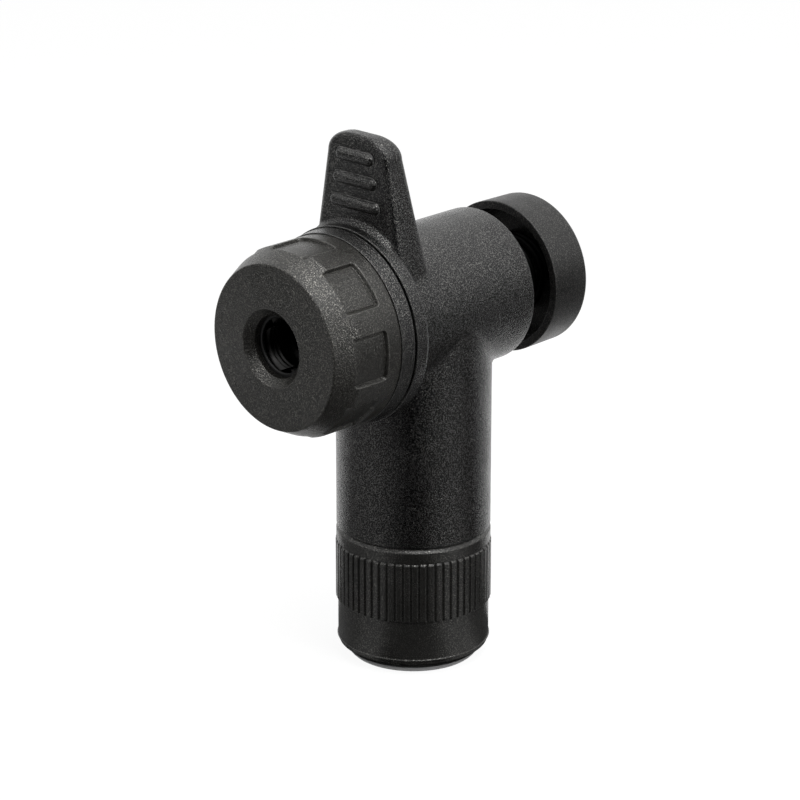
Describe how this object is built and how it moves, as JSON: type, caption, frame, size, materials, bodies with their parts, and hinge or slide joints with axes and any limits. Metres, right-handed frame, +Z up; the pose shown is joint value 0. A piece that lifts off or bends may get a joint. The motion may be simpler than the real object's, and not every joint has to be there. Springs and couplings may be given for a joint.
{
  "type": "tire inflator head",
  "caption": "T-shaped quick-release head of a tire inflator: screw cap over threaded jaws, finger tab, sprung rear button and knurled hose nut on the neck.",
  "frame": {"origin": "centre of the hose port's mouth, in the plane of the foot ring's lower face", "axes": "+Z up along the neck, the valve opening faces -Y, +X to the right when looking along +Y"},
  "size_m": [0.0278, 0.0521, 0.0785],
  "materials": {
    "grained_black": "spark-eroded grain",
    "cap_black": "fine matte grain",
    "button_black": "smooth matte",
    "nut_black": "satin",
    "inner_black": "plain moulded",
    "foot_grey": "satin",
    "dark_steel": "black oxide",
    "spring_steel": "drawn wire",
    "bright_steel": "turned",
    "brass": "turned",
    "black_rubber": "moulded"
  },
  "bodies": {
    "shell": {"body": "grained_black", "jaw_cage": "grained_black", "flange_gasket": "black_rubber", "garter_spring": "spring_steel", "rod_guide": "inner_black", "return_spring": "spring_steel", "air_spout": "brass", "spout_oring": "black_rubber", "valve_seal": "black_rubber", "core_pin": "bright_steel", "hose_barb": "brass", "barb_oring": "black_rubber", "hose_collet": "inner_black", "foot_ring": "foot_grey"},
    "cap_thread": {"cap_slip_ring": "inner_black"},
    "cap": {"front_cap": "cap_black"},
    "button": {"rear_button": "button_black", "push_rod": "inner_black", "push_yoke": "bright_steel", "yoke_screw": "bright_steel", "push_pins": "bright_steel", "pin_screws": "bright_steel", "wedge_sleeve": "bright_steel"},
    "upper_jaw": {"jaw_top": "dark_steel"},
    "left_jaw": {"jaw_left": "dark_steel"},
    "right_jaw": {"jaw_right": "dark_steel"},
    "nut_thread": {"nut_slip_washer": "bright_steel"},
    "nut": {"hose_nut": "nut_black"}
  },
  "joints": [
    {"name": "button_press", "type": "slide", "parent": "shell", "child": "button", "axis": [0, -1, 0], "range_m": [0, 0.004], "stiffness_N_per_m": 600, "springref_m": -0.005, "deforming": ["return_spring"]},
    {"name": "upper_jaw_open", "type": "slide", "parent": "shell", "child": "upper_jaw", "axis": [0, 0, 1], "range_m": [0, 0.0005], "deforming": ["garter_spring"]},
    {"name": "left_jaw_open", "type": "slide", "parent": "shell", "child": "left_jaw", "axis": [-0.866, 0, -0.5], "range_m": [0, 0.0005]},
    {"name": "right_jaw_open", "type": "slide", "parent": "shell", "child": "right_jaw", "axis": [0.866, 0, -0.5], "range_m": [0, 0.0005]},
    {"name": "cap_advance", "type": "slide", "parent": "shell", "child": "cap_thread", "axis": [0, -1, 0], "range_m": [0, 0.0015]},
    {"name": "cap_turn", "type": "hinge", "parent": "cap_thread", "child": "cap", "pos_m": [0, -0.0159, 0.0521], "axis": [0, -1, 0], "range_deg": [0, 360]},
    {"name": "nut_advance", "type": "slide", "parent": "shell", "child": "nut_thread", "axis": [0, 0, -1], "range_m": [0, 0.0015]},
    {"name": "nut_turn", "type": "hinge", "parent": "nut_thread", "child": "nut", "pos_m": [0, 0, 0.01], "axis": [0, 0, -1], "range_deg": [0, 360]}
  ],
  "couplings": [
    {"joint": "upper_jaw_open", "follows": "button_press", "ratio": 0.125},
    {"joint": "left_jaw_open", "follows": "button_press", "ratio": 0.125},
    {"joint": "right_jaw_open", "follows": "button_press", "ratio": 0.125},
    {"joint": "cap_advance", "follows": "cap_turn", "m_per_rad": 0.00023873},
    {"joint": "nut_advance", "follows": "nut_turn", "m_per_rad": 0.00023873}
  ]
}
